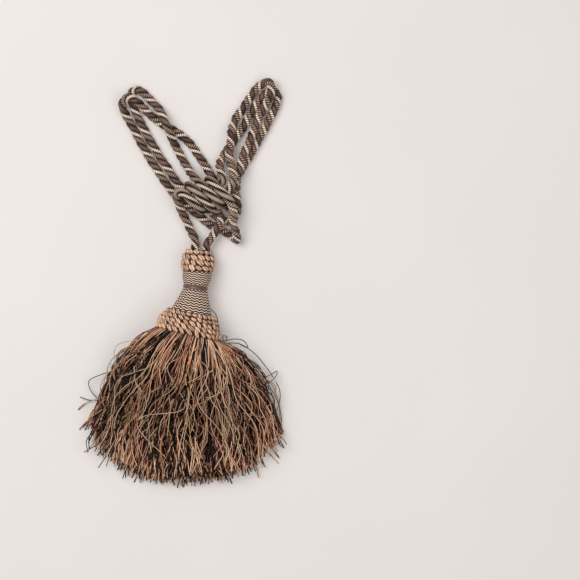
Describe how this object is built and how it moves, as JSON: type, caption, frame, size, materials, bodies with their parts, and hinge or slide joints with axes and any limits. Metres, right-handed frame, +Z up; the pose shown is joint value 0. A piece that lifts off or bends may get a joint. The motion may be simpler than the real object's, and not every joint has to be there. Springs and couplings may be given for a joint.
{
  "type": "curtain tieback tassel",
  "caption": "Curtain tieback: knotted twisted rope loops above a knotted and wrapped tassel head with a full fringe skirt, lying flat.",
  "frame": {"origin": "on the surface, under the middle of the head and skirt's bounding box", "axes": "+Y from the skirt towards the head and loops, +Z up from the surface, +X to the right as seen from above"},
  "size_m": [0.1993, 0.432, 0.0649],
  "materials": {
    "three_colour_rope": "satin, dark brown, ribbed brown and ribbed cream plies",
    "bronze_knots": "satin, golden bronze twisted cord",
    "zigzag_wrap": "matt, brown and cream zigzag cord",
    "mauve_satin": "satin, mauve brown",
    "skirt_threads": "satin, dark brown to golden tan threads"
  },
  "bodies": {
    "root": {"tie_rope": "three_colour_rope", "hanging_cord": "three_colour_rope", "top_ruff": "bronze_knots", "neck_wrap": "zigzag_wrap", "waist_binding": "mauve_satin", "cone_wrap": "zigzag_wrap", "lower_ruff": "bronze_knots", "skirt": "skirt_threads"}
  },
  "joints": []
}
